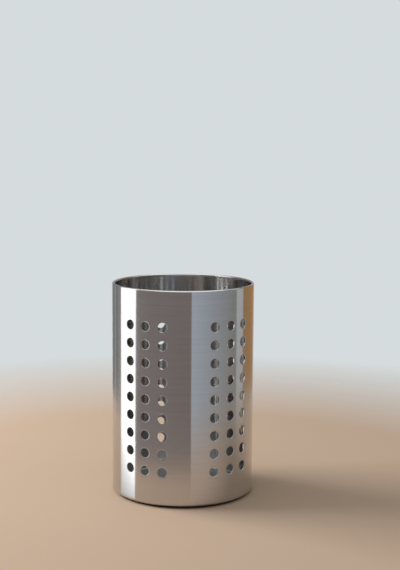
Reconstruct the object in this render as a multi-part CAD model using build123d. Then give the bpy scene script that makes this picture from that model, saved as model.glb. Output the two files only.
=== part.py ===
from build123d import *
import math
import os

# Cutlery holder: a free-standing perforated steel cup on a dark foot ring.
# The wall is one sheet, punched flat, rolled round and butt welded on +Y, with the weld ground flush.
# Its mouth is curled inward and its foot is turned in as a flat lip. The base pan is pressed into the
# wall from above until it sits on the lip, and the foot ring is bonded to the lip from below.
# Millimetres, +Z up, origin on the axis under the foot ring. -Y faces the middle column of one hole group.

# Overall size
outer_diameter = 120.0
overall_height = 180.0

# Wall sheet, rim curl and foot lip
wall_sheet = 0.5
rim_bead_diameter = 2.4
rim_curl_degrees = 285.0
lip_width = 7.0
lip_bend_radius = 2.0

# Vent holes: groups of columns round the wall, rows up its height
vent_hole_diameter = 8.0
vent_row_pitch = 15.0
vent_column_pitch = 15.7
vent_end_band = 30.0
vent_columns_per_group = 3
vent_group_count = 5

# Base pan
base_sheet = 0.6
base_flange_height = 8.0
base_bend_radius = 2.2
drain_hole_diameter = 8.0
drain_circle_radius = 30.0
drain_hole_count = 5

# Foot ring
foot_height = 2.0
foot_inset = 3.0
foot_width = 6.0
foot_edge_chamfer = 0.5

# Clearances and the overrun of every cut
base_wall_clearance = 0.1
spigot_clearance = 0.1
cut_overrun = 2.0

# Part of one pitch by which a row may fall short and still be counted
count_slack_share = 0.001

# Sizes that follow from those above
outer_radius = outer_diameter / 2
inner_radius = outer_radius - wall_sheet
rim_bead_radius = rim_bead_diameter / 2
lip_inner_radius = outer_radius - lip_width
lip_top = foot_height + wall_sheet
base_outer_radius = inner_radius - base_wall_clearance


def sheet_section(skin, thickness):
    """Cross-section of a formed sheet: skin draws its face at a depth, from 0 on the outside."""
    outside = skin(0)
    inside = skin(thickness)
    ends = [Line(outside @ end, inside @ end) for end in (0, 1)]
    return make_face(outside.edges() + inside.edges() + ends)


def turned(section):
    """A full turn of a cross-section that is drawn in radius and height."""
    return revolve(Plane.XZ * section, Axis.Z)


def vent_row_heights():
    """Heights of the hole rows: as many as fit between the two plain end bands, centred."""
    room = overall_height - 2 * vent_end_band
    row_count = math.floor(room / vent_row_pitch + count_slack_share) + 1
    lowest = (overall_height - (row_count - 1) * vent_row_pitch) / 2
    return [lowest + row * vent_row_pitch for row in range(row_count)]


def vent_column_angles():
    """Angles of the hole columns from -Y: the pitch is measured along the outside of the wall."""
    column_step = math.degrees(vent_column_pitch / outer_radius)
    middle_column = (vent_columns_per_group - 1) / 2
    angles = []
    for group in range(vent_group_count):
        group_angle = 360 * group / vent_group_count
        for column in range(vent_columns_per_group):
            angles.append(group_angle + (column - middle_column) * column_step)
    return angles


def vent_punches():
    """One round punch through the wall at each hole."""
    punch = Cylinder(vent_hole_diameter / 2, wall_sheet + 2 * cut_overrun)
    in_the_wall = Pos(Y=wall_sheet / 2 - outer_radius) * Rot(X=90)
    punches = []
    for angle in vent_column_angles():
        for height in vent_row_heights():
            punches.append(Rot(Z=angle) * Pos(Z=height) * in_the_wall * punch)
    return punches


def wall_skin(depth):
    """A face of the wall's sheet, from the lip's inner edge out, up the wall and over the rim curl."""
    rim_centre = (outer_radius - rim_bead_radius, overall_height - rim_bead_radius)
    lip_and_wall = FilletPolyline(
        (lip_inner_radius, foot_height + depth),
        (outer_radius - depth, foot_height + depth),
        (outer_radius - depth, overall_height - rim_bead_radius),
        radius=lip_bend_radius - depth,
    )
    rim_curl = CenterArc(rim_centre, rim_bead_radius - depth, 0, rim_curl_degrees)
    return Wire(lip_and_wall.edges() + rim_curl.edges())


def perforated_wall():
    """The rolled sheet with its rim curl and foot lip, punched with the vent holes."""
    return turned(sheet_section(wall_skin, wall_sheet)) - vent_punches()


def drain_punches():
    """One drain hole in the middle of the base and a circle of them round it."""
    punch = Pos(Z=lip_top + base_sheet / 2) * Cylinder(drain_hole_diameter / 2, base_sheet + 2 * cut_overrun)
    circle = PolarLocations(drain_circle_radius, drain_hole_count, start_angle=-90)
    return [punch] + [place * punch for place in circle]


def base_skin(depth):
    """A face of the base's sheet, from the axis along the floor and up the flange."""
    outline = FilletPolyline(
        (0, lip_top + depth),
        (base_outer_radius - depth, lip_top + depth),
        (base_outer_radius - depth, lip_top + base_flange_height),
        radius=base_bend_radius - depth,
    )
    return outline.wire()


def base_pan():
    """The pressed base: a flat floor that sits on the lip, and an upright flange inside the wall."""
    return turned(sheet_section(base_skin, base_sheet)) - drain_punches()


def foot_ring():
    """The moulded ring: a flat foot below the lip, and a spigot that centres it in the lip."""
    ring_outer_radius = outer_radius - foot_inset
    ring_inner_radius = ring_outer_radius - foot_width
    spigot_radius = lip_inner_radius - spigot_clearance
    spigot_top = lip_top - spigot_clearance
    section = make_face(
        Polyline(
            (ring_inner_radius, 0),
            (ring_outer_radius, 0),
            (ring_outer_radius, foot_height),
            (spigot_radius, foot_height),
            (spigot_radius, spigot_top),
            (ring_inner_radius, spigot_top),
            close=True,
        )
    )
    lower_corners = section.vertices().group_by(Axis.Y)[0]
    return turned(chamfer(lower_corners, foot_edge_chamfer))


os.makedirs("parts", exist_ok=True)
export_step(perforated_wall(), "parts/perforated_wall.step")
export_step(base_pan(), "parts/base_pan.step")
export_step(foot_ring(), "parts/foot_ring.step")
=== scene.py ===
# %% [markdown]
# # A perforated steel cutlery holder
# This lesson dresses a measured model of a steel cup for cutlery. The measured model, called the frame,
# already has every size and place, so nothing here moves or resizes it. We lay its punched wall, its base
# and its foot ring as finer meshes, give each its finish, and build a small studio for the steel to mirror.

# %% Load the measured frame
import math

import bmesh
import bpy
import numpy as np
from mathutils import Matrix, Vector


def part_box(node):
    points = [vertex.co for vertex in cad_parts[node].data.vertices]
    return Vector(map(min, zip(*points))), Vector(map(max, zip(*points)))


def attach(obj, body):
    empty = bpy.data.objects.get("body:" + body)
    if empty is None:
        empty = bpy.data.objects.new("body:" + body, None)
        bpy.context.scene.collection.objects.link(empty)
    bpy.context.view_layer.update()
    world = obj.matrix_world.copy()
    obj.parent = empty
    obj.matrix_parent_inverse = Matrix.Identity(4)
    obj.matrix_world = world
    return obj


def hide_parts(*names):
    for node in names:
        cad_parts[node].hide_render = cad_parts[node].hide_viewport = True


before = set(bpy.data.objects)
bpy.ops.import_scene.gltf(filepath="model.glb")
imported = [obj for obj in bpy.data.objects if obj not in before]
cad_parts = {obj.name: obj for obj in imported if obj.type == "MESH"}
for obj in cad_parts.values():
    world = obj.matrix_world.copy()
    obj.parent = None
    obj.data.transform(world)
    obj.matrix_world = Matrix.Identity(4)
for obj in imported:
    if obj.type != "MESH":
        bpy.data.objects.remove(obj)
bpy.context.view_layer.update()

# %% [markdown]
# ## Sizes
# The frame gives the sizes that show from outside, so they are read from it and not typed again. The axis
# of the cup is the Z axis and its foot stands at height zero, so a radius is the same as a highest X.

# %% Sizes read from the frame
wall_low, wall_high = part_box("perforated_wall")
base_low, base_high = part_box("base_pan")
foot_low, foot_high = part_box("foot_ring")
outer_radius = wall_high.x
rim_top = wall_high.z
lip_bottom = wall_low.z
girth = 2 * math.pi * outer_radius
print(f"wall radius {outer_radius:.4f}, rim at {rim_top:.4f}, lip at {lip_bottom:.4f}")

# %% [markdown]
# ## The camera
# The camera comes first, so that every later choice can be judged in the final picture. Its distance,
# height and tilt were worked out from the rim, the outline and the rows of holes in the photograph. The
# focal length is kept in pixels of that picture, because that is how it was measured.

# %% Camera
picture_high_pixels = 570
focal_pixels = 1208.7
camera_azimuth = math.radians(31.1)
camera_distance = 1.0161
camera_height = 0.3102
camera_yaw = math.radians(-0.80)
camera_tilt = math.radians(90 - 7.45)
camera_roll = math.radians(0.39)


def towards(azimuth, distance, height):
    """A place at a distance from the axis, in a direction counted from -Y towards +X."""
    return Vector((distance * math.sin(azimuth), -distance * math.cos(azimuth), height))


lens = bpy.data.cameras.new("camera")
lens.lens = lens.sensor_width * focal_pixels / picture_high_pixels
camera = bpy.data.objects.new("camera", lens)
camera.matrix_world = (
    Matrix.Translation(towards(camera_azimuth, camera_distance, camera_height))
    @ Matrix.Rotation(camera_azimuth + camera_yaw, 4, "Z")
    @ Matrix.Rotation(camera_tilt, 4, "X")
    @ Matrix.Rotation(camera_roll, 4, "Z")
)
bpy.context.scene.collection.objects.link(camera)
bpy.context.scene.camera = camera
print(f"lens {lens.lens:.1f} mm at {tuple(round(x, 3) for x in camera.location)}")

# %% [markdown]
# ## The punched wall
# The real wall starts as a flat strip of steel. Holes are punched in it, the strip is rolled round and its
# ends are welded. A Boolean modifier could cut the holes, but it leaves long thin faces that dent the
# mirror picture on smooth steel. So the mesh is laid the way the strip is made: flat, in rings round each
# hole, and every point is rolled into place as it is laid.

# %% Sizes of the strip and its holes
sheet = 0.0005
hole_radius = 0.004
row_pitch = 0.015
column_pitch = 0.0157
lowest_row = 0.030
row_count = 9
group_count = 5
columns_in_group = 3
row_heights = [lowest_row + row * row_pitch for row in range(row_count)]
holes_bottom = row_heights[0] - row_pitch / 2
holes_top = row_heights[-1] + row_pitch / 2
print(f"{row_count * columns_in_group * group_count} holes between {holes_bottom:.4f} and {holes_top:.4f}")

# %% Rolling, and laying quads between rings


def rolled(along, up, depth):
    """A point of the strip after rolling: its place along the strip, up it, and in from its outer face."""
    return towards(along / outer_radius, outer_radius - depth, up)


def spaced(start, end, steps):
    """Evenly spaced values from start to end, both included."""
    return [start + (end - start) * step / steps for step in range(steps + 1)]


def lay_rings(mesh, rings, closed):
    """Lays a row of quads between each ring of points and the next. Closed rings run right round."""
    laid = [[mesh.verts.new(point) for point in ring] for ring in rings]
    for near, far in zip(laid, laid[1:]):
        for here in range(len(near) if closed else len(near) - 1):
            there = (here + 1) % len(near)
            mesh.faces.new((near[here], near[there], far[there], far[here]))


# %% [markdown]
# ### Where the holes go
# The holes stand in groups of three columns with a plain band between the groups. Each hole owns a
# rectangle of the strip, one pitch wide and one pitch high. The rectangles and the plain bands share the
# same upright lines, so that the mesh has no gaps when its parts are welded together.

# %% Columns, plain bands and upright lines
side_steps = 7
band_steps = 13
column_middles = []
plain_bands = []
upright_lines = []
for group in range(group_count):
    group_start = girth * group / group_count - columns_in_group * column_pitch / 2
    group_end = group_start + columns_in_group * column_pitch
    band_end = group_start + girth / group_count
    for column in range(columns_in_group):
        column_middles.append(group_start + (column + 0.5) * column_pitch)
    plain_bands.append((group_end, band_end))
    upright_lines += spaced(group_start, group_end, columns_in_group * side_steps)[:-1]
    upright_lines += spaced(group_end, band_end, band_steps)[:-1]
print(f"{len(column_middles)} columns, {len(upright_lines)} upright lines")

# %% [markdown]
# ### One punched hole
# A punch drags the edge of the sheet with it, so the outer edge of a hole is softly rounded and the inner
# edge is only deburred. That small round edge is what catches the light as a bright crescent. We follow
# the sheet through the hole ring by ring: over the round edge, down the hole and out on the inner face.

# %% Rings through a hole
drawn_width = 0.0008
drawn_depth = 0.00036
deburred_round = 0.00012
flat_margin = 0.0003
drawn_steps = 6
deburred_steps = 3


def hole_rings():
    """Radius and depth of each ring, from the outer face of the sheet through to the inner one."""
    rings = [(hole_radius + drawn_width + flat_margin, 0)]
    for turn in spaced(0, math.pi / 2, drawn_steps):
        drawn_in = drawn_width * (1 - math.sin(turn))
        rings.append((hole_radius + drawn_in, drawn_depth * (1 - math.cos(turn))))
    for turn in spaced(0, math.pi / 2, deburred_steps):
        drawn_out = deburred_round * (1 - math.cos(turn))
        rings.append((hole_radius + drawn_out, sheet - deburred_round * (1 - math.sin(turn))))
    rings.append((hole_radius + deburred_round + flat_margin, sheet))
    return rings


print(f"{len(hole_rings())} rings through each hole")

# %% Squares and circles with matching points


def square_outline(along, up, width, height):
    """Points round a rectangle, counted from its upper right corner."""
    right, left = along + width / 2, along - width / 2
    top, bottom = up + height / 2, up - height / 2
    corners = [(right, top), (left, top), (left, bottom), (right, bottom)]
    outline = []
    for corner, following in zip(corners, corners[1:] + corners[:1]):
        across = spaced(corner[0], following[0], side_steps)
        upward = spaced(corner[1], following[1], side_steps)
        outline += list(zip(across, upward))[:-1]
    return outline


def round_outline(along, up, radius):
    """Points round a circle, one for each point of the rectangle."""
    turns = spaced(math.pi / 4, math.pi * 9 / 4, 4 * side_steps)[:-1]
    return [(along + radius * math.cos(turn), up + radius * math.sin(turn)) for turn in turns]


def halfway(outline, other):
    """The outline that lies midway between two others."""
    return [((a + c) / 2, (b + d) / 2) for (a, b), (c, d) in zip(outline, other)]


def punched_square(mesh, along, up):
    """One hole with its rectangle of sheet, on both faces and through the hole."""
    square = square_outline(along, up, column_pitch, row_pitch)
    circles = [(round_outline(along, up, radius), depth) for radius, depth in hole_rings()]
    midway = halfway(square, circles[0][0])
    outlines = [(square, 0), (midway, 0)] + circles + [(midway, sheet), (square, sheet)]
    rings = [[rolled(a, b, depth) for a, b in outline] for outline, depth in outlines]
    lay_rings(mesh, rings, closed=True)


def plain_square(mesh, start, end, up):
    """A plain piece of a band beside one row of holes, on both faces."""
    heights = spaced(up - row_pitch / 2, up + row_pitch / 2, side_steps)
    places = spaced(start, end, band_steps)
    for depth in (0, sheet):
        rings = [[rolled(along, height, depth) for along in places] for height in heights]
        lay_rings(mesh, rings, closed=False)


# %% [markdown]
# ### The rim and the lip
# Above the holes the sheet is curled inward into a hollow bead, which hides the cut edge and stiffens the
# mouth. Below them it is turned in as a flat lip that carries the base. Both are the same outline all the
# way round, so we draw each once in radius and height and turn it. The cut edges end in half circles.

# %% Outlines of the rim and the lip
bead_radius = 0.0012
curl_degrees = 270
lip_width = 0.007
lip_bend_radius = 0.002
curl_steps = 26
bend_steps = 8
end_steps = 6


def arc(centre, radius, start_degrees, end_degrees, steps):
    """Points of an arc in radius and height."""
    turns = spaced(math.radians(start_degrees), math.radians(end_degrees), steps)
    return [centre + radius * Vector((math.cos(turn), math.sin(turn))) for turn in turns]


def rounded_end(middle, outer_side, past_the_end, thickness):
    """Half circle that closes the cut edge of a sheet, without the two points on its faces."""
    half = thickness / 2
    turns = spaced(0, math.pi, end_steps)[1:-1]
    return [middle + half * (outer_side * math.cos(turn) + past_the_end * math.sin(turn)) for turn in turns]


def rim_outline():
    """From the holes up the outer face, round the curl, and back down the inner face."""
    centre = Vector((outer_radius - bead_radius, rim_top - bead_radius))
    curl_turn = math.radians(curl_degrees)
    outer_side = Vector((math.cos(curl_turn), math.sin(curl_turn)))
    onward = Vector((-math.sin(curl_turn), math.cos(curl_turn)))
    outline = [Vector((outer_radius, holes_top))]
    outline += arc(centre, bead_radius, 0, curl_degrees, curl_steps)
    outline += rounded_end(centre + outer_side * (bead_radius - sheet / 2), outer_side, onward, sheet)
    outline += arc(centre, bead_radius - sheet, curl_degrees, 0, curl_steps)
    return outline + [Vector((outer_radius - sheet, holes_top))]


def lip_outline():
    """From the holes down the outer face, in along the lip, and back up the inner face."""
    centre = Vector((outer_radius - lip_bend_radius, lip_bottom + lip_bend_radius))
    end_middle = Vector((outer_radius - lip_width + sheet / 2, lip_bottom + sheet / 2))
    below, inward = Vector((0, -1)), Vector((-1, 0))
    outline = [Vector((outer_radius, holes_bottom))]
    outline += arc(centre, lip_bend_radius, 0, -90, bend_steps)
    outline += [end_middle + below * sheet / 2]
    outline += rounded_end(end_middle, below, inward, sheet)
    outline += [end_middle - below * sheet / 2]
    outline += arc(centre, lip_bend_radius - sheet, -90, 0, bend_steps)
    return outline + [Vector((outer_radius - sheet, holes_bottom))]


def turn_outline(mesh, outline, closed_outline=False):
    """Turns an outline in radius and height round the axis, with a point at each upright line."""
    rings = []
    for radius, up in outline:
        rings.append([rolled(along, up, outer_radius - radius) for along in upright_lines])
    if closed_outline:
        rings.append(rings[0])
    lay_rings(mesh, rings, closed=True)


print(f"{len(rim_outline())} points round the rim, {len(lip_outline())} round the lip")

# %% [markdown]
# ### Welding the wall together
# Neighbouring parts were laid with points in the same places, so merging close points joins them into one
# closed skin. Steel shows the smallest error in a surface normal as a wobble in its reflections, so on the
# two faces of the wall the normals are set to point exactly away from the axis.

# %% Welding and exact normals
weld_distance = 1e-6


def closed_mesh(name, mesh):
    """Welds the laid parts, faces them outward and returns a smooth mesh."""
    bmesh.ops.remove_doubles(mesh, verts=mesh.verts, dist=weld_distance)
    bmesh.ops.recalc_face_normals(mesh, faces=mesh.faces)
    open_edges = sum(len(edge.link_faces) != 2 for edge in mesh.edges)
    made = bpy.data.meshes.new(name)
    mesh.to_mesh(made)
    mesh.free()
    made.shade_smooth()
    print(f"{name}: {len(made.polygons)} faces, {open_edges} open edges")
    return made


def set_radial_normals(made, radius, direction):
    """Points the normals on a face of the wall exactly away from the axis, or towards it."""
    corner_count = len(made.loops)
    vertex_of = np.empty(corner_count, int)
    made.loops.foreach_get("vertex_index", vertex_of)
    places = np.empty(len(made.vertices) * 3)
    made.vertices.foreach_get("co", places)
    places = places.reshape(-1, 3)[vertex_of]
    normals = np.empty(corner_count * 3)
    made.corner_normals.foreach_get("vector", normals)
    normals = normals.reshape(-1, 3)
    distance = np.hypot(places[:, 0], places[:, 1])
    upright = (places[:, 2] >= lip_bottom + lip_bend_radius) & (places[:, 2] <= rim_top - bead_radius)
    on_face = upright & (np.abs(distance - radius) < weld_distance)
    normals[on_face, :2] = direction * places[on_face, :2] / distance[on_face, None]
    normals[on_face, 2] = 0
    made.normals_split_custom_set(normals)
    return int(on_face.sum())


# %% Lay the wall
wall_mesh = bmesh.new()
for height in row_heights:
    for middle in column_middles:
        punched_square(wall_mesh, middle, height)
    for start, end in plain_bands:
        plain_square(wall_mesh, start, end, height)
turn_outline(wall_mesh, rim_outline())
turn_outline(wall_mesh, lip_outline())
wall_made = closed_mesh("punched_wall", wall_mesh)
print("exact normals outside:", set_radial_normals(wall_made, outer_radius, 1))
print("exact normals inside:", set_radial_normals(wall_made, outer_radius - sheet, -1))

# %% [markdown]
# ### Hanging a piece on the frame
# Each new mesh stands for one piece of the frame: it rides on the same body and hides the piece that it
# replaces.

# %% Put the wall on the frame


def hang_on_frame(made, replaced):
    """Makes an object of a mesh and puts it in the place of a piece of the frame."""
    piece = bpy.data.objects.new(made.name, made)
    bpy.context.scene.collection.objects.link(piece)
    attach(piece, "root")
    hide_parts(replaced)
    return piece


wall = hang_on_frame(wall_made, "perforated_wall")
print("wall size:", [round(size, 4) for size in wall.dimensions])

# %% [markdown]
# ## The base
# The base is a shallow pan pressed from sheet: a flat floor with drain holes, and an upright flange that
# lies inside the wall. The flange is turned like the rim. The floor is flat, so a simple fill between its
# edge and its holes is enough, and the drain holes get the same rounded edges as the wall's.

# %% Base pan
base_sheet = 0.0006
base_bend_radius = 0.0022
drain_circle_radius = 0.030
drain_count = 5
base_radius = base_high.x
base_underside = base_low.z
base_floor = base_underside + base_sheet
floor_radius = base_radius - base_bend_radius


def flange_outline():
    """From the edge of the floor's underside up the flange, over it, and down to the floor."""
    centre = Vector((floor_radius, base_underside + base_bend_radius))
    end_middle = Vector((base_radius - base_sheet / 2, base_high.z - base_sheet / 2))
    outward, upward = Vector((1, 0)), Vector((0, 1))
    outline = arc(centre, base_bend_radius, -90, 0, bend_steps)
    outline += [end_middle + outward * base_sheet / 2]
    outline += rounded_end(end_middle, outward, upward, base_sheet)
    outline += [end_middle - outward * base_sheet / 2]
    return outline + arc(centre, base_bend_radius - base_sheet, 0, -90, bend_steps)


def drain_middles():
    """The middle of the floor, and a circle of places round it."""
    turns = [2 * math.pi * place / drain_count for place in range(drain_count)]
    return [Vector((0, 0, 0))] + [towards(turn, drain_circle_radius, 0) for turn in turns]


def floor_face(mesh, height, margin):
    """Fills one face of the floor between its edge and the outermost ring of each drain hole."""
    edge = [rolled(along, height, outer_radius - floor_radius) for along in upright_lines]
    outlines = [edge]
    for middle in drain_middles():
        circle = round_outline(middle.x, middle.y, hole_radius + margin)
        outlines.append([Vector((x, y, height)) for x, y in circle])
    edges = []
    for outline in outlines:
        laid = [mesh.verts.new(point) for point in outline]
        edges += [mesh.edges.new((a, b)) for a, b in zip(laid, laid[1:] + laid[:1])]
    bmesh.ops.triangle_fill(mesh, use_beauty=True, edges=edges)


def drain_hole(mesh, middle):
    """The rings of one drain hole, from the floor down to the underside."""
    stretch = base_sheet / sheet
    rings = []
    for radius, depth in hole_rings():
        circle = round_outline(middle.x, middle.y, radius)
        rings.append([Vector((x, y, base_floor - depth * stretch)) for x, y in circle])
    lay_rings(mesh, rings, closed=True)


base_mesh = bmesh.new()
turn_outline(base_mesh, flange_outline())
floor_face(base_mesh, base_floor, drawn_width + flat_margin)
floor_face(base_mesh, base_underside, deburred_round + flat_margin)
for drain_middle in drain_middles():
    drain_hole(base_mesh, drain_middle)
base = hang_on_frame(closed_mesh("pressed_base", base_mesh), "base_pan")

# %% [markdown]
# ## The foot ring
# The cup stands on a dark moulded ring, so that its steel scratches nothing. It shows as a thin dark line
# under the wall. Its edges are rounded, because no moulding has a knife edge, and a low step centres it in
# the opening of the lip.

# %% Foot ring
foot_width = 0.006
foot_round = 0.0005
step_round = 0.0002
spigot_clearance = 0.0001
corner_steps = 4


def foot_outline():
    """Closed outline of the ring in radius and height, with its corners rounded."""
    outside, inside = foot_high.x, foot_high.x - foot_width
    spigot = outer_radius - lip_width - spigot_clearance
    low, shoulder, top = foot_low.z, lip_bottom, foot_high.z
    outline = arc(Vector((inside + foot_round, low + foot_round)), foot_round, 180, 270, corner_steps)
    outline += arc(Vector((outside - foot_round, low + foot_round)), foot_round, 270, 360, corner_steps)
    outline += arc(Vector((outside - step_round, shoulder - step_round)), step_round, 0, 90, corner_steps)
    outline += [Vector((spigot, shoulder))]
    outline += arc(Vector((spigot - step_round, top - step_round)), step_round, 0, 90, corner_steps)
    outline += arc(Vector((inside + step_round, top - step_round)), step_round, 90, 180, corner_steps)
    return outline


foot_mesh = bmesh.new()
turn_outline(foot_mesh, foot_outline(), closed_outline=True)
foot = hang_on_frame(closed_mesh("moulded_foot", foot_mesh), "foot_ring")

# %% [markdown]
# ## Finishes
# Every finish is built from nodes that read the piece's own coordinates in metres, so that grain and
# scratches have their real size. A value that is the same all over a piece is typed on the shader itself.
# A few helpers keep the node trees short.

# %% Helpers for node trees


def new_finish(name):
    """A material with its node tree and its main shader."""
    finish = bpy.data.materials.new(name)
    finish.use_nodes = True
    return finish, finish.node_tree, finish.node_tree.nodes["Principled BSDF"]


def add_node(tree, kind, inputs=(), **settings):
    """Adds a node, sets its options, and sets or links its inputs by name or number."""
    node = tree.nodes.new(kind)
    for option, value in settings.items():
        setattr(node, option, value)
    for socket, value in dict(inputs).items():
        if isinstance(value, bpy.types.NodeSocket):
            tree.links.new(value, node.inputs[socket])
        else:
            node.inputs[socket].default_value = value
    return node


def own_place(tree):
    """Where a point lies in the piece's own coordinates, in metres."""
    return add_node(tree, "ShaderNodeTexCoord").outputs["Object"]


def own_axes(tree):
    """The piece's own X, Y and Z as separate values."""
    return add_node(tree, "ShaderNodeSeparateXYZ", {"Vector": own_place(tree)}).outputs


def grain(tree, per_metre, detail):
    """Noise with its own number of features per metre along X, Y and Z, from about 0 to 1."""
    stretch = {"Vector": own_place(tree), "Scale": per_metre}
    stretched = add_node(tree, "ShaderNodeMapping", stretch).outputs["Vector"]
    noise = {"Vector": stretched, "Scale": 1, "Detail": detail}
    return add_node(tree, "ShaderNodeTexNoise", noise).outputs["Fac"]


def between(tree, amount, low, high, lowest=0.3, highest=0.7):
    """Stretches a noise value onto a range of our own."""
    inputs = {"Value": amount, "From Min": lowest, "From Max": highest, "To Min": low, "To Max": high}
    return add_node(tree, "ShaderNodeMapRange", inputs).outputs["Result"]


def blend(tree, amount, first, second):
    """A colour between two others, each of them typed or taken from a node."""
    inputs = {"Factor": amount, 6: first, 7: second}
    return add_node(tree, "ShaderNodeMix", inputs, data_type="RGBA").outputs[2]


def math_node(tree, operation, *values):
    """One step of arithmetic on values or sockets."""
    return add_node(tree, "ShaderNodeMath", dict(enumerate(values)), operation=operation).outputs["Value"]


def vector_node(tree, operation, *values):
    """The outputs of one step of arithmetic on vectors."""
    return add_node(tree, "ShaderNodeVectorMath", dict(enumerate(values)), operation=operation).outputs


def bump(tree, height, strength, distance):
    """A normal that follows a height."""
    inputs = {"Height": height, "Strength": strength, "Distance": distance}
    return add_node(tree, "ShaderNodeBump", inputs).outputs["Normal"]


# %% [markdown]
# ### Brushed steel
# The strip was brushed along its length before rolling, so its fine scratches run round the cup. Such
# steel keeps reflections sharp sideways and smears them up and down. The shader does that with a strong
# anisotropy along the axis. Long thin noise adds the scratches and the faint streaks, wide noise the
# slightly duller patches, and a narrow upright line on the back marks the weld that was ground flush. In
# the holes the punch tore the steel and no brush reached it, so their walls are duller, and their colour
# is set much darker than the faces of the sheet.

# %% Masks for the weld and the walls of the holes
weld_half_width = 0.0005
weld_fade = 0.0004
wall_facing_below = 0.15
sheet_facing_above = 0.4


def weld_line(tree):
    """1 on the ground weld at the back of the wall and 0 elsewhere."""
    axes = own_axes(tree)
    sideways = math_node(tree, "ABSOLUTE", axes["X"])
    narrow = between(tree, sideways, 1, 0, weld_half_width, weld_half_width + weld_fade)
    behind = math_node(tree, "GREATER_THAN", axes["Y"], 0)
    return math_node(tree, "MULTIPLY", narrow, behind)


def hole_edge(tree):
    """1 on the walls of the vent holes, which face along the sheet, and 0 on its two faces."""
    level = vector_node(tree, "MULTIPLY", own_place(tree), (1, 1, 0))["Vector"]
    outward = vector_node(tree, "NORMALIZE", level)["Vector"]
    facing = add_node(tree, "ShaderNodeNewGeometry").outputs["True Normal"]
    squarely = math_node(tree, "ABSOLUTE", vector_node(tree, "DOT_PRODUCT", facing, outward)["Value"])
    edge = between(tree, squarely, 1, 0, wall_facing_below, sheet_facing_above)
    above_middle = math_node(tree, "SUBTRACT", own_axes(tree)["Z"], (holes_bottom + holes_top) / 2)
    from_middle = math_node(tree, "ABSOLUTE", above_middle)
    in_rows = math_node(tree, "LESS_THAN", from_middle, (holes_top - holes_bottom) / 2)
    return math_node(tree, "MULTIPLY", edge, in_rows)


# %% Brushed steel of the wall
steel_tone = (0.595, 0.59, 0.58, 1)
pale_steel_tone = (0.655, 0.65, 0.642, 1)
dark_hole_wall_tone = (0.24, 0.235, 0.23, 1)
streak_share = 0.7
patch_share = 0.3
satin_roughness = (0.145, 0.165)
patch_roughness = 0.006
weld_roughness = 0.12
torn_roughness = 0.25
quarter_turn = 0.25


def brushed_steel():
    """Satin steel with its scratches running round the cup."""
    finish, tree, shader = new_finish("brushed_steel")
    scratches = grain(tree, per_metre=(30, 30, 6000), detail=3)
    hairlines = grain(tree, per_metre=(50, 50, 12000), detail=2)
    patches = grain(tree, per_metre=(26, 26, 14), detail=3)
    streaks = grain(tree, per_metre=(12, 12, 900), detail=4)
    hole_walls = hole_edge(tree)
    streaked = between(tree, streaks, 0, streak_share)
    streaked = math_node(tree, "ADD", streaked, between(tree, patches, 0, patch_share))
    tone = blend(tree, streaked, steel_tone, pale_steel_tone)
    # The walls of the holes get a much darker colour than the faces of the sheet.
    tone = blend(tree, hole_walls, tone, dark_hole_wall_tone)
    roughness = between(tree, scratches, *satin_roughness)
    roughness = math_node(tree, "ADD", roughness, between(tree, patches, -patch_roughness, patch_roughness))
    roughness = math_node(tree, "MULTIPLY_ADD", weld_line(tree), weld_roughness, roughness)
    roughness = math_node(tree, "MULTIPLY_ADD", hole_walls, torn_roughness, roughness)
    tree.links.new(tone, shader.inputs["Base Color"])
    tree.links.new(roughness, shader.inputs["Roughness"])
    tree.links.new(bump(tree, hairlines, strength=0.02, distance=0.00001), shader.inputs["Normal"])
    around = add_node(tree, "ShaderNodeTangent", direction_type="RADIAL", axis="Z").outputs["Tangent"]
    tree.links.new(around, shader.inputs["Tangent"])
    shader.inputs["Metallic"].default_value = 1
    shader.inputs["Anisotropic"].default_value = 1
    shader.inputs["Anisotropic Rotation"].default_value = quarter_turn
    return finish


wall.data.materials.append(brushed_steel())
print("wall finish:", wall.data.materials[0].name)

# %% [markdown]
# ### Pressed steel
# The base is plainer sheet, left as it came from the rolling mill. Its grain runs one way across the floor
# and the tips of knives and forks have left short scratches in it. Noise stretched along X makes the mill
# grain, and noise squeezed to thin lines makes the scratches.

# %% Pressed steel of the base
mill_tone = (0.55, 0.545, 0.537, 1)
pale_mill_tone = (0.60, 0.595, 0.587, 1)
mill_roughness = (0.27, 0.36)
mill_patch_roughness = 0.03
scratch_reach = 0.012
scratch_roughness = 0.08
scratch_depth = -0.6


def pressed_steel():
    """Mill finished sheet with a straight grain and a scratched floor."""
    finish, tree, shader = new_finish("pressed_steel")
    mill_grain = grain(tree, per_metre=(60, 2200, 2200), detail=4)
    patches = grain(tree, per_metre=(45, 45, 45), detail=3)
    scratch_noise = grain(tree, per_metre=(160, 420, 300), detail=6)
    from_middle = math_node(tree, "ABSOLUTE", math_node(tree, "SUBTRACT", scratch_noise, 0.5))
    scratches = between(tree, from_middle, 1, 0, 0, scratch_reach)
    tone = blend(tree, between(tree, patches, 0, 1), mill_tone, pale_mill_tone)
    uneven = between(tree, patches, -mill_patch_roughness, mill_patch_roughness)
    roughness = math_node(tree, "ADD", between(tree, mill_grain, *mill_roughness), uneven)
    roughness = math_node(tree, "MULTIPLY_ADD", scratches, scratch_roughness, roughness)
    height = math_node(tree, "MULTIPLY_ADD", scratches, scratch_depth, mill_grain)
    tree.links.new(tone, shader.inputs["Base Color"])
    tree.links.new(roughness, shader.inputs["Roughness"])
    tree.links.new(bump(tree, height, strength=0.12, distance=0.00003), shader.inputs["Normal"])
    shader.inputs["Metallic"].default_value = 1
    return finish


base.data.materials.append(pressed_steel())
print("base finish:", base.data.materials[0].name)

# %% [markdown]
# ### Moulded plastic
# The foot ring is matt black plastic. A mould with a fine spark texture gives it an even grain, and the
# lower corner, which rubs whenever the cup is moved, is a little paler and smoother than the rest.

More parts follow.
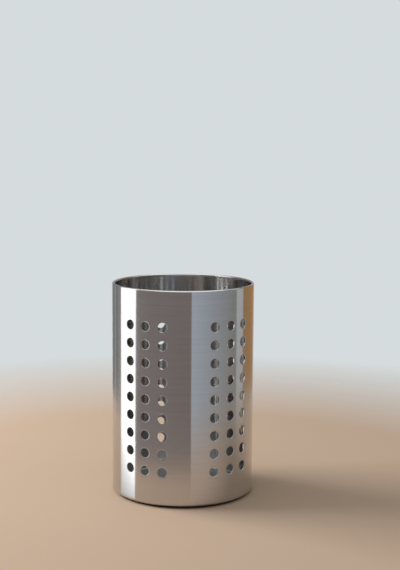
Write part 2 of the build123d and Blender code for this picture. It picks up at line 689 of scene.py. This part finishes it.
# %% Black plastic of the foot ring
plastic_tone = (0.016, 0.016, 0.017, 1)
rubbed_tone = (0.045, 0.044, 0.043, 1)
plastic_roughness = (0.5, 0.62)
plastic_patch_roughness = 0.05
rubbed_roughness = -0.12


def moulded_plastic():
    """Matt black plastic with a moulded grain and a rubbed lower corner."""
    finish, tree, shader = new_finish("moulded_plastic")
    mould_grain = grain(tree, per_metre=(3200, 3200, 3200), detail=2)
    patches = grain(tree, per_metre=(70, 70, 70), detail=3)
    low = between(tree, own_axes(tree)["Z"], 1, 0, 0, foot_round)
    rubbed = math_node(tree, "MULTIPLY", low, between(tree, patches, 0, 1))
    tone = blend(tree, rubbed, plastic_tone, rubbed_tone)
    uneven = between(tree, patches, -plastic_patch_roughness, plastic_patch_roughness)
    roughness = math_node(tree, "ADD", between(tree, mould_grain, *plastic_roughness), uneven)
    roughness = math_node(tree, "MULTIPLY_ADD", rubbed, rubbed_roughness, roughness)
    tree.links.new(tone, shader.inputs["Base Color"])
    tree.links.new(roughness, shader.inputs["Roughness"])
    tree.links.new(bump(tree, mould_grain, strength=0.25, distance=0.00004), shader.inputs["Normal"])
    return finish


foot.data.materials.append(moulded_plastic())
print("foot finish:", foot.data.materials[0].name)

# %% [markdown]
# ## The studio
# Steel has no colour of its own to speak of: it shows what stands round it. A photographer shapes a metal
# cup with cards, a bright one for the highlight and dark ones for the body. We do the same with a round
# floor that fades out, a pale sky, soft lamps and a ring of curved cards that only reflections see.

# %% Floor
floor_reach = 1.2
floor_sides = 96
floor_fade_start = 0.28
floor_fade_end = 0.62
floor_colour = (0.60, 0.44, 0.325, 1)


def floor_finish():
    """Plain pale paint that fades out away from the cup and is clear from below."""
    finish, tree, shader = new_finish("pale_floor")
    distance = vector_node(tree, "LENGTH", own_place(tree))["Value"]
    faded = between(tree, distance, 0, 1, floor_fade_start, floor_fade_end)
    behind = add_node(tree, "ShaderNodeNewGeometry").outputs["Backfacing"]
    clear = math_node(tree, "MAXIMUM", faded, behind)
    shader.inputs["Base Color"].default_value = floor_colour
    shader.inputs["Roughness"].default_value = 1
    shader.inputs["Specular IOR Level"].default_value = 0
    nothing = add_node(tree, "ShaderNodeBsdfTransparent").outputs["BSDF"]
    mixed = add_node(tree, "ShaderNodeMixShader", {0: clear, 1: shader.outputs["BSDF"], 2: nothing})
    tree.links.new(mixed.outputs["Shader"], tree.nodes["Material Output"].inputs["Surface"])
    return finish


floor_mesh = bmesh.new()
bmesh.ops.create_circle(floor_mesh, cap_ends=True, segments=floor_sides, radius=floor_reach)
floor_made = bpy.data.meshes.new("floor")
floor_mesh.to_mesh(floor_made)
floor_mesh.free()
floor = bpy.data.objects.new("floor", floor_made)
bpy.context.scene.collection.objects.link(floor)
floor.data.materials.append(floor_finish())
print("floor of radius", floor_reach)

# %% [markdown]
# ### Cards
# Each card is a curved sheet that stands close to the cup and glows, from one colour at its first edge to
# another at its last. Only reflections see it. Its edges are directions counted from the camera's, to the
# right, and distances from the axis. The steel turns a direction into a place across the cup, so a card's
# edge becomes one of the crisp upright lines between light and dark. A card's distance decides how far up
# the steel the floor is mirrored in front of it.

# %% Cards that only reflections see
card_top = 0.50
dark_card_top = 0.25
card_steps = 24


def card_finish(name):
    """Glows in the colours that the card's points carry."""
    finish, tree, shader = new_finish(name)
    tone = add_node(tree, "ShaderNodeVertexColor", layer_name="tone").outputs["Color"]
    shader.inputs["Base Color"].default_value = (0, 0, 0, 1)
    shader.inputs["Specular IOR Level"].default_value = 0
    shader.inputs["Emission Strength"].default_value = 1
    tree.links.new(tone, shader.inputs["Emission Color"])
    return finish


def hang_card(name, mesh, tones):
    """Makes a glowing card of a mesh, with a colour for each point."""
    made = bpy.data.meshes.new(name)
    mesh.to_mesh(made)
    mesh.free()
    layer = made.color_attributes.new("tone", "FLOAT_COLOR", "POINT")
    for point, tone in zip(layer.data, tones):
        point.color = (*tone, 1)
    made.materials.append(card_finish(name))
    piece = bpy.data.objects.new(name, made)
    bpy.context.scene.collection.objects.link(piece)
    piece.visible_camera = False
    piece.visible_diffuse = False
    piece.visible_shadow = False
    print(f"{name} with {len(made.polygons)} faces")


def card_ring(degrees, distances, height):
    """Points along a card at one height, from its first edge to its last."""
    turns = [camera_azimuth + math.radians(turn) for turn in spaced(*degrees, card_steps)]
    places = zip(turns, spaced(*distances, card_steps))
    return [towards(turn, distance, height) for turn, distance in places]


def card_tones(first, last):
    """Colours along a card, from its first edge to its last."""
    return [Vector(first).lerp(Vector(last), share) for share in spaced(0, 1, card_steps)]


def card(name, degrees, distances, colours, top=card_top, top_degrees=None):
    """An upright card on the floor. Each pair holds the value at its first edge and at its last."""
    rings = [card_ring(degrees, distances, 0), card_ring(top_degrees or degrees, distances, top)]
    mesh = bmesh.new()
    lay_rings(mesh, rings, closed=False)
    hang_card(name, mesh, 2 * card_tones(*colours))


# %% [markdown]
# The cards stand round the cup in order, from the left of the camera by way of the right to the back. The
# dark one beside the camera makes the dark body of the cup, and it is low, so that light still falls into
# the mouth over it. Its first edge leans, because that side of the highlight slants a little. The narrow
# light and dim ones behind the cup draw the thin stripes along its left edge.

# %% Upright cards
dark_tones = ((0.25, 0.225, 0.225), (0.225, 0.187, 0.178))
grey_tones = ((0.445, 0.503, 0.585), (0.256, 0.254, 0.246))
pale_tones = ((0.49, 0.50, 0.52), (0.49, 0.50, 0.52))
tan_tones = ((0.34, 0.224, 0.125), (0.455, 0.235, 0.095))
back_tones = ((0.45, 0.46, 0.48), (0.21, 0.21, 0.215))
light_tones = ((0.37, 0.37, 0.375), (0.37, 0.37, 0.375))
dim_tones = ((0.22, 0.22, 0.225), (0.22, 0.22, 0.225))
slate_tones = ((0.325, 0.32, 0.315), (0.30, 0.295, 0.29))
card(
    "dark_card", degrees=(-70.55, 11.14), top_degrees=(-66.5, 11.14),
    distances=(0.17, 0.17), colours=dark_tones, top=dark_card_top,
)
card("grey_card", degrees=(9, 89.8), distances=(0.26, 0.42), colours=grey_tones)
card("pale_card", degrees=(89.8, 106.7), distances=(0.42, 0.42), colours=pale_tones)
card("tan_card", degrees=(106.7, 150), distances=(0.42, 0.42), colours=tan_tones)
card("back_card", degrees=(150, 222), distances=(0.42, 0.40), colours=back_tones)
card("light_card", degrees=(222, 228.5), distances=(0.40, 0.39), colours=light_tones)
card("dim_card", degrees=(228.5, 236.5), distances=(0.39, 0.38), colours=dim_tones)
card("slate_card", degrees=(236.5, 256), distances=(0.38, 0.35), colours=slate_tones)

# %% [markdown]
# ### The white card
# One bright card at the left makes the broad highlight that runs down the cup. If it stood upright, the
# floor in front of it would cut the highlight off well above the foot ring. So it leans: its foot is close
# to the cup and dimmer, and from its knee it goes straight up. Seen along a mirrored ray the foot and the
# knee lie in line, so the highlight has no step there. From its shoulder up the card is only as bright as
# the highlight needs, because its light also comes in through the holes and shows on the inner wall.

# %% White card
white_foot_edges = (-71.5, -48.0)
white_knee_edges = (-104.6, -71.8)
white_shoulder_edges = (-104.6, -70.9)
white_top_edges = (-104.6, -65.5)
white_foot_distances = (0.07, 0.07)
white_distances = (0.20, 0.20)
white_knee = 0.03
white_shoulder = 0.08
white_top = 0.32
white_foot_tones = ((0.69, 0.69, 0.69), (0.95, 0.95, 0.95))
white_knee_tones = ((1.75, 1.75, 1.75), (3.3, 3.3, 3.3))
white_shoulder_tones = ((1.75, 1.75, 1.75), (1.75, 1.75, 1.75))
white_top_tones = ((1.7, 1.7, 1.7), (1.7, 1.7, 1.7))
white_rings = [
    card_ring(white_foot_edges, white_foot_distances, 0),
    card_ring(white_knee_edges, white_distances, white_knee),
    card_ring(white_shoulder_edges, white_distances, white_shoulder),
    card_ring(white_top_edges, white_distances, white_top),
]
white_mesh = bmesh.new()
lay_rings(white_mesh, white_rings, closed=False)
white_tones = []
for tones in (white_foot_tones, white_knee_tones, white_shoulder_tones, white_top_tones):
    white_tones += card_tones(*tones)
hang_card("white_card", white_mesh, white_tones)

# %% [markdown]
# ### Level cards
# A round card high above the cup draws the bright line along the rim and the light in the rounded edges of
# the holes. A small grey one lies under the cup, so that the base is not black when it is seen from below.

# %% Level cards
ceiling_height = 0.9
ceiling_radius = 0.55
ceiling_tone = (1.5, 1.5, 1.5)
under_card_height = 0.0003
under_card_tone = (0.5, 0.5, 0.5)
round_card_sides = 48


def round_card(name, radius, height, tone):
    """A flat round card of one colour, level with the floor."""
    mesh = bmesh.new()
    level = Matrix.Translation((0, 0, height))
    bmesh.ops.create_circle(mesh, cap_ends=True, segments=round_card_sides, radius=radius, matrix=level)
    hang_card(name, mesh, [tone] * len(mesh.verts))


round_card("ceiling_card", ceiling_radius, ceiling_height, ceiling_tone)
round_card("under_card", foot_high.x - foot_width, under_card_height, under_card_tone)

# %% [markdown]
# ### Lamps and sky
# A tall lamp at the left and a little behind the cup gives the direction of the light and the shadow. A
# wide lamp above lights the floor and the mouth, and a weak one at the right fills in. The cards are what
# the steel mirrors, so no lamp is seen in a reflection. The sky is pale where the camera and the steel look
# at it, and weaker where it only lights the floor.

# %% Lamps


def lamp(name, degrees, distance, height, width, tall, brightness, aim_height):
    """A soft rectangular lamp that looks at the axis of the cup."""
    light = bpy.data.lights.new(name, "AREA")
    light.shape = "RECTANGLE"
    light.size = width
    light.size_y = tall
    light.energy = brightness * math.pi * width * tall
    piece = bpy.data.objects.new(name, light)
    piece.location = towards(camera_azimuth + math.radians(degrees), distance, height)
    aim = Vector((0, 0, aim_height)) - piece.location
    piece.rotation_euler = aim.to_track_quat("-Z", "Y").to_euler()
    piece.visible_camera = False
    piece.visible_glossy = False
    bpy.context.scene.collection.objects.link(piece)
    print(f"{name} of {light.energy:.2f} W")


lamp(
    "side_lamp", degrees=-104, distance=1.1, height=0.70,
    width=0.845, tall=1.3, brightness=6.8, aim_height=0.70,
)
lamp(
    "fill_lamp", degrees=70, distance=1.3, height=0.9,
    width=0.9, tall=0.9, brightness=0.5, aim_height=0.1,
)
lamp(
    "top_lamp", degrees=-60, distance=0.25, height=1.5,
    width=1.2, tall=1.2, brightness=1.0, aim_height=0.0,
)

# %% Sky
sky_colour = (0.67, 0.715, 0.725, 1)
sky_light = 0.385
bpy.context.scene.world = bpy.data.worlds.new("sky")
bpy.context.scene.world.use_nodes = True
sky = bpy.context.scene.world.node_tree
rays = add_node(sky, "ShaderNodeLightPath").outputs
seen = math_node(sky, "MAXIMUM", rays["Is Camera Ray"], rays["Is Glossy Ray"])
seen = math_node(sky, "MAXIMUM", seen, rays["Is Transmission Ray"])
strength = between(sky, seen, sky_light, 1, 0, 1)
sky_shader = sky.nodes["Background"]
sky_shader.inputs["Color"].default_value = sky_colour
sky.links.new(strength, sky_shader.inputs["Strength"])
bpy.context.scene.view_settings.view_transform = "Standard"
print("sky light on the floor:", sky_light)
